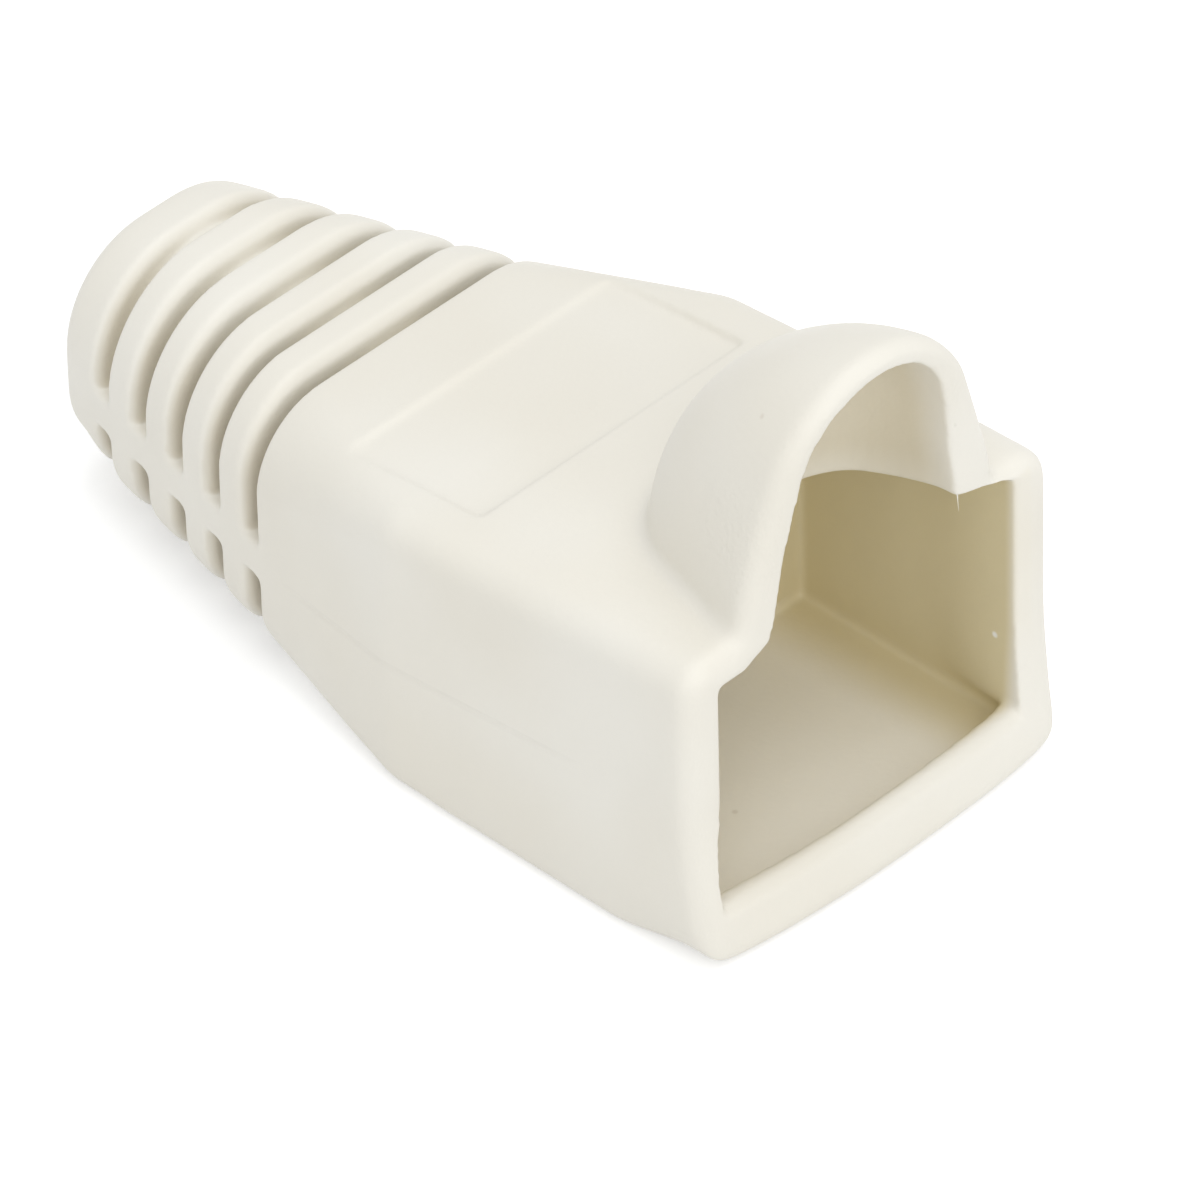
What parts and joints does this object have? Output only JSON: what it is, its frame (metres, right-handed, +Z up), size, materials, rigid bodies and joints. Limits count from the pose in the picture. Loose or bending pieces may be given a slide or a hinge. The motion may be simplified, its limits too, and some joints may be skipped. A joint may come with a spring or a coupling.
{
  "type": "strain relief boot",
  "caption": "Soft moulded boot for an eight-way modular plug: box-shaped plug socket, domed hood over the plug's latch, bare label panel and a slotted flexing neck round the cable",
  "frame": {"origin": "centre of the bounding box in plan, on the flat underside of the box", "axes": "+Z up, -Y the way the plug mouth looks, +Y the way the cable leaves, X across"},
  "size_m": [0.0148, 0.0302, 0.0182],
  "materials": {
    "soft_pvc": "satin, lightly grained soft PVC in warm ivory"
  },
  "bodies": {
    "root": {"boot": "soft_pvc"}
  },
  "joints": []
}
